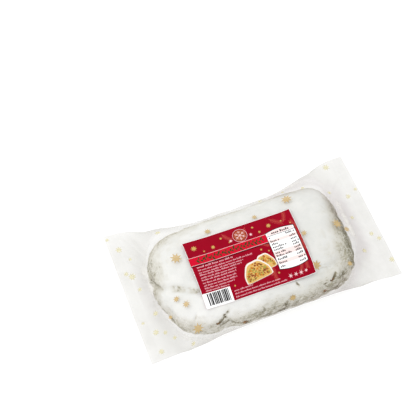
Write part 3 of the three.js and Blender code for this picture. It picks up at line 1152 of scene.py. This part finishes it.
def snowflake(x, y, radius):
    """Six arms with a pair of barbs on each, in a thin ring."""
    centre = np.array([x, y])
    shapes = [stroke(centre + radius * facing(np.linspace(0, 2 * np.pi, 40)), 0.28)]
    for k in range(6):
        angle = np.pi / 6 + k * np.pi / 3
        way = facing(angle)
        shapes.append(stroke([centre, centre + way * radius * 0.78], 0.4))
        root = centre + way * radius * 0.42
        for side in (-1, 1):
            shapes.append(stroke([root, root + facing(angle + side * 0.8) * radius * 0.26], 0.34))
    return shapes


def garland(left, right, middle_y, leaf):
    """A wavy stem with a leaf to each side in turn, each leaf a narrow pointed oval."""
    def wave(x):
        """Height of the stem at x: a sine."""
        return middle_y + 0.5 * np.sin((x - left) * 0.8)

    x = np.linspace(left, right, 90)
    shapes = [stroke(np.stack([x, wave(x)], -1), 0.3)]
    t = np.linspace(0, 1, 7)
    faces = [[i + 7, i + 8, i + 1, i] for i in range(6)]
    for k, at in enumerate(np.arange(left + 1, right - 1, leaf * 0.47)):
        side = 1 if k % 2 else -1
        ahead = facing(side * (0.95 + 0.25 * np.sin(k * 1.7)))
        off = np.array([-ahead[1], ahead[0]])
        size = leaf * (0.85 + 0.2 * np.cos(k * 2.3))
        line = np.array([at, wave(at)]) + t[:, None] * ahead * size
        half = (np.sin(np.pi * t**0.8) * size * 0.2 + 0.05)[:, None] * off
        shapes.append((np.concatenate([line + half, line - half]), faces))
    return shapes


def cut_slice(x, y, width, height, turn):
    """A cut slice that stands on (x, y): a half-round sugar crust, and the crumb a little inside it. Both
    are rings about a hub, of which the last is the outline."""
    angle = np.linspace(0, np.pi, 25)
    arch = np.stack([np.cos(angle) * width / 2, np.sin(angle) ** 0.8 * height], -1)
    foot = np.stack([np.linspace(-width / 2, width / 2, 9)[1:-1], np.full(7, -0.04 * height)], -1)
    outline = np.concatenate([arch, foot]) * (1 + 0.025 * np.sin(np.arange(32) * 0.9))[:, None]
    hub = np.array([0, 0.4 * height])
    rings, n = 7, len(outline)
    points = mix(hub, outline[None], np.linspace(0.15, 1, rings)[:, None, None]).reshape(-1, 2)
    faces = [[i, (i + 1) % n, rings * n] for i in range(n)]
    faces += [quad[:1] + quad[:0:-1] for quad in ring_faces(rings, n)]
    crust = np.concatenate([points, [hub]])
    crumb = crust * [0.92, 0.89] + [0, 0.015 * height]
    return (turned(crust, turn, x, y), faces), (turned(crumb, turn, x, y), faces)


def slice_fruit(rng, x, y, width, height, turn, count):
    """Small ovals of fruit over the crumb of a slice."""
    shapes = []
    for _ in range(count):
        across = rng.uniform(-0.4, 0.4)
        up = rng.uniform(0.06, 0.8) * (1 - (2.1 * across) ** 2) + 0.04
        points, faces = disc(0, 0, rng.uniform(0.35, 0.95), 8)
        points = points * [1.0, rng.uniform(0.5, 1.0)] + [across * width, up * height]
        shapes.append((turned(points, turn, x, y), faces))
    return shapes


def edge_lines():
    """A thin line along each edge of the label."""
    edge = 0.3
    far, high = LABEL_LENGTH - edge, LABEL_DEPTH - edge
    sides = ((0, 0, LABEL_LENGTH, edge), (0, high, LABEL_LENGTH, LABEL_DEPTH))
    sides += ((0, edge, edge, high), (far, edge, LABEL_LENGTH, high))
    return [block(*side) for side in sides]


def table_ticks(rng):
    """The table's heading, a rule, and rows with a group of ticks at the left and one at the right."""
    left, right, height, weight = 67.6, 89.4, 1.8, 0.5
    shapes = type_line(rng, 71.0, 86.0, PRINT_TOP - 16.1, 2.1, weight)
    shapes.append(hung(TABLE_LEFT, TABLE_RIGHT, 17.4, 17.0))
    for down, share in TABLE_ROWS:
        base = PRINT_TOP - down - 0.8
        shapes += type_line(rng, left, left + 1 + 18 * share, base, height, weight)
        shapes += type_line(rng, 84.0 if share else 82.0, right, base, height, weight)
    return shapes


def plain_bars(rng):
    """A row of bars of random width and distance, which stand for nothing."""
    shapes = []
    x = 3.6
    while x < 21.2:
        wide = rng.choice([0.6, 0.95, 1.3], p=[0.45, 0.35, 0.2])
        shapes.append(hung(x, x + wide, 57.0, 47.2, step=1.2))
        x += wide + rng.choice([0.3, 0.5, 0.75], p=[0.5, 0.3, 0.2])
    return shapes


def small_print(rng):
    """The rows of ticks at the left, the first of them larger, and those at the foot."""
    shapes = []
    for down, end in TEXT_ROWS:
        shapes += type_line(rng, 4.1, end, PRINT_TOP - down - 0.75, 1.35 if down > 24 else 1.7)
    for down, end in FOOT_ROWS:
        shapes += type_line(rng, 25.5, end, PRINT_TOP - down - 0.6, 1.25)
    return shapes


def print_label(crown, inks):
    """The label's print as fields of colour and simple shapes. Each layer has an ink and a level, and
    lies that many ink steps over the paper."""
    rng = np.random.default_rng(21)
    ribbon_end = 66.5
    ribbon_rims = [hung(0, ribbon_end, low, high) for low, high in ((21.8, 21.5), (14.6, 14.3))]
    layers = {
        "label_edges": ("white", 3, edge_lines()),
        "label_sprigs": ("faint", 3, [part for twig in TWIGS for part in sprig(*twig)]),
        "label_ribbon_shade": ("shade", 3, [hung(0, ribbon_end, 22.9, 21.6)]),
        "label_ribbon": ("ribbon", 5, [hung(0, ribbon_end, 21.8, 14.3)]),
        "label_ribbon_edges": ("pale", 8, ribbon_rims),
        "label_garland": ("olive", 8, garland(5.0, 63.5, PRINT_TOP - 18.0, 3.5)),
        "label_frame": ("dark", 5, [hung(65.75, 90.95, 47.05, 13.75, 1.7, 1.7)]),
    }
    table = hung(TABLE_LEFT, TABLE_RIGHT, 46.5, 14.3, 1.7, 1.7)
    layers["label_white"] = ("white", 7, [table, block(0.0, 0.0, 23.3, PRINT_TOP - 46.5)])
    pink_rows = ((23.5, 20.9), (36.7, 31.6), (43.1, 40.1))
    pink = [hung(66.9, 89.8, 16.6, 14.4, 0.0, 1.4)]
    pink += [hung(TABLE_LEFT, TABLE_RIGHT, low, high) for low, high in pink_rows]
    layers["label_pink"] = ("pink", 9, pink)
    layers["label_dark"] = ("dark", 11, table_ticks(rng))
    layers["label_bars"] = ("black", 11, plain_bars(rng))
    layers["label_pale"] = ("blush", 5, small_print(rng))

    crest_x, crest_y = 46.5, PRINT_TOP - 7.9
    crest = snowflake(crest_x, crest_y, 5.9)
    low_stars = ((72.6, 2.2), (77.2, 2.0), (81.6, 2.2))
    crest += [star(x, PRINT_TOP - 54.3, radius, 6, 0.3) for x, radius in low_stars]
    crest += [star(crest_x + aside, PRINT_TOP - 10.2, 1.5, 6, 0.45) for aside in (-8.6, 8.6)]
    crest.append(star(86.0, PRINT_TOP - 54.0, 1.5, 6, 0.4))
    layers["label_crest_ground"] = ("label_gold_deep", 4, [disc(crest_x, crest_y, 5.0, 28)])
    layers["label_crest"] = ("pale", 8, crest)
    gold = [
        star(x, PRINT_TOP - down, radius, STAR_ARMS, 0.5, rng.uniform(0, 0.8))
        for x, down, radius in PRINT_STARS
    ]
    layers["label_gold"] = ("label_gold", 10, gold)

    for k, (x, down, width, height, turn, count) in enumerate(SLICES, 1):
        crust, crumb = cut_slice(x, PRINT_TOP - down, width, height, turn)
        dots = slice_fruit(rng, x, PRINT_TOP - down, width, height, turn, count)
        level = 14 * k - 1
        layers[f"label_crust_{k}"] = ("icing", level, [crust])
        layers[f"label_crumb_{k}"] = ("crumb", level + 5, [crumb])
        for name, first, every in (("fruit", 0, 2), ("peel", 1, 4), ("citron", 3, 4)):
            layers[f"label_{name}_{k}"] = (name, level + 8 + 0.8 * first, dots[first::every])

    for name, (ink, level, shapes) in layers.items():
        points, faces = joined(shapes)
        placed = place_on_label(crown, points, LABEL_FACE + level * INK_STEP)
        add_piece(name, placed, faces, inks[ink])


# ---------------------------------------------------------------- fruit and loose sugar

# Places near the crust at which a raisin shows, the half axes of one, and how deep it is pressed in
RAISIN_SPOTS = (
    (-46.3, -47.4, 22), (-26, -49, 13), (44, -49.5, 17), (52, -46.3, 25), (30, 44, 10), (-20, 45, 9),
    (83, 12, 8),
)
RAISIN_SIZE = np.array([3.6, 2.5, 2.1])
RAISIN_SINK = 1.65
LUMP_COUNT = 2600
LUMP_SINK = 0.12


def ball_points(rings, sides):
    """A unit ball of rings from low to high with a pole at each end."""
    tilt = np.linspace(-np.pi / 2, np.pi / 2, rings + 2)[1:-1, None]
    turn = 2 * np.pi * np.arange(sides)[None, :] / sides
    ball = np.stack([np.cos(tilt) * np.cos(turn), np.cos(tilt) * np.sin(turn), np.sin(tilt) + 0 * turn], -1)
    return np.concatenate([ball.reshape(-1, 3), [[0, 0, -1], [0, 0, 1]]])


def make_raisins(grid, normal, skin):
    """Wrinkled ovals pressed into the crust, each with only its outer part showing."""
    rng = np.random.default_rng(3)
    ball, ball_skin = ball_points(20, 28), ball_faces(20, 28)
    surface, outward = grid.reshape(-1, 3), normal.reshape(-1, 3)
    shapes = []
    for spot in RAISIN_SPOTS:
        nearest = np.argmin(((surface - spot) ** 2).sum(1))
        size = RAISIN_SIZE * rng.uniform(0.8, 1.1)
        turn = rng.uniform(0, np.pi)
        spin = np.array([[np.cos(turn), -np.sin(turn), 0], [np.sin(turn), np.cos(turn), 0], [0, 0, 1]])
        wrinkled = ball * (1 + 0.16 * layered_noise(ball + spot, size=0.5, seed=7, layers=2))[:, None]
        points = wrinkled * size @ spin.T + surface[nearest] - outward[nearest] * RAISIN_SINK
        shapes.append((points, ball_skin))
    points, faces = joined(shapes)
    add_piece("raisins", points, faces, skin)


def make_loose_sugar(grid, normal, powder):
    """Small lumps of sugar all over the steeper parts of the crust."""
    rng = np.random.default_rng(12)
    ball, ball_skin = ball_points(2, 5), ball_faces(2, 5)
    surface, outward = grid.reshape(-1, 3), normal.reshape(-1, 3)
    steep = (outward[:, 2] < 0.8) & (outward[:, 2] > -0.3) & (surface[:, 2] > 2)
    shapes = []
    for k in rng.choice(np.flatnonzero(steep), LUMP_COUNT, replace=False):
        size = rng.uniform(0.12, 0.42, 3) * (0.7 + 0.6 * rng.random())
        shapes.append((ball * size + surface[k] - outward[k] * LUMP_SINK, ball_skin))
    points, faces = joined(shapes)
    add_piece("sugar_lumps", points, faces, powder, shaded_smooth=False)


# ---------------------------------------------------------------- studio

VIEW_HEADING = np.radians(19.779)
VIEW_ELEVATION = np.radians(61.133)
VIEW_ROLL = np.radians(-1.481)
VIEW_LENS = 94.41
VIEW_POINT = (-166.55, -354.37, 814.28)
# In metres: half the floor's side and how far under the bag it lies, and the light's place, aim and size
FLOOR_HALF, FLOOR_DROP = 3.0, 0.0001
KEY_PLACE, KEY_AIM, KEY_SIZE = (-0.55, 0.35, 0.9), (-0.05, 0, 0.02), 0.8
KEY_POWER = 3.0
WHITE = (1, 1, 1, 1)


def add_camera():
    """A camera that looks down on the pack from the front left, a little rolled."""
    camera = bpy.data.cameras.new("camera")
    camera.lens = VIEW_LENS
    camera.sensor_width = 36
    ahead = Vector((
        np.sin(VIEW_HEADING) * np.cos(VIEW_ELEVATION),
        np.cos(VIEW_HEADING) * np.cos(VIEW_ELEVATION),
        -np.sin(VIEW_ELEVATION),
    ))
    level = Vector((np.cos(VIEW_HEADING), -np.sin(VIEW_HEADING), 0))
    right = level * np.cos(VIEW_ROLL) + level.cross(ahead) * np.sin(VIEW_ROLL)
    turn = Matrix((right, right.cross(ahead), -ahead)).transposed()
    stand = add_object("camera", camera)
    stand.matrix_world = Matrix.Translation(Vector(VIEW_POINT) * MM) @ turn.to_4x4()
    bpy.context.scene.camera = stand


def add_soft_light():
    """One large round light from the back left."""
    light = bpy.data.lights.new("soft key", "AREA")
    light.shape = "DISK"
    light.size = KEY_SIZE
    light.energy = KEY_POWER
    lamp = add_object("soft key", light)
    lamp.location = KEY_PLACE
    lamp.rotation_euler = (Vector(KEY_AIM) - Vector(KEY_PLACE)).to_track_quat("-Z", "Y").to_euler()


def add_studio():
    """A pale floor that glows a little, as on a light table, the soft light and a bright even room."""
    material, _, _ = new_material(
        "studio floor",
        Base_Color=(0.35, 0.35, 0.35, 1),
        Roughness=0.9,
        Emission_Color=WHITE,
        Emission_Strength=0.72,
    )
    mesh = bpy.data.meshes.new("floor")
    corners = ((-1, -1), (1, -1), (1, 1), (-1, 1))
    mesh.from_pydata([(x * FLOOR_HALF, y * FLOOR_HALF, -FLOOR_DROP) for x, y in corners], [], [(0, 1, 2, 3)])
    mesh.materials.append(material)
    floor = add_object("floor", mesh)
    add_soft_light()
    world = bpy.data.worlds.new("room")
    world.use_nodes = True
    settings(world.node_tree, world.node_tree.nodes["Background"], Color=WHITE, Strength=1.05)
    bpy.context.scene.world = world
    bpy.context.scene.view_settings.view_transform = "Standard"


# ---------------------------------------------------------------- inks

# Each ink's material, its colour, the share to which its spots are darker, roughness and cover
INKS = {
    "gold": ("gold film ink", (204, 175, 120), 0.88, 0.4, 0.78),
    "pale_gold": ("pale gold film ink", (214, 203, 126), 0.92, 0.4, 0.42),
    "label_gold": ("gold label ink", (205, 168, 96), 0.8, 0.35),
    "label_gold_deep": ("deep gold label ink", (172, 88, 58), 0.8, 0.35),
    "faint": ("rose ink", (186, 74, 66), 0.9),
    "shade": ("deep red ink", (88, 2, 12), 0.9),
    "ribbon": ("bright red ink", (205, 12, 44), 0.9),
    "pale": ("pale pink ink", (244, 206, 208), 0.9),
    "blush": ("rose pink ink", (236, 176, 186), 0.9),
    "olive": ("olive ink", (54, 64, 32), 0.9),
    "white": ("white ink", (252, 252, 252), 0.98),
    "pink": ("blush ink", (244, 223, 220), 0.97),
    "dark": ("dark ink", (34, 26, 30), 0.9),
    "black": ("black ink", (18, 16, 18), 0.9),
    "icing": ("icing ink", (240, 232, 224), 0.9),
    "crumb": ("crumb ink", (224, 182, 104), 0.8),
    "fruit": ("fruit ink", (146, 74, 44), 0.8),
    "peel": ("peel ink", (206, 128, 44), 0.85),
    "citron": ("citron ink", (170, 164, 78), 0.85),
}

add_camera()
add_studio()
loaf_grid, loaf_normal = make_loaf(sugared_crust())
make_raisins(loaf_grid, loaf_normal, dried_fruit())
make_loose_sugar(loaf_grid, loaf_normal, loose_sugar())
make_film(clear_film())
inks = {name: printed_ink(*recipe) for name, recipe in INKS.items()}
make_stars(FilmMap(film_surface), inks["gold"], inks["pale_gold"])
crown = FilmMap(lambda stations, steps: bag_grid(stations, steps, 0.0))
make_label(crown, label_paper())
print_label(crown, inks)
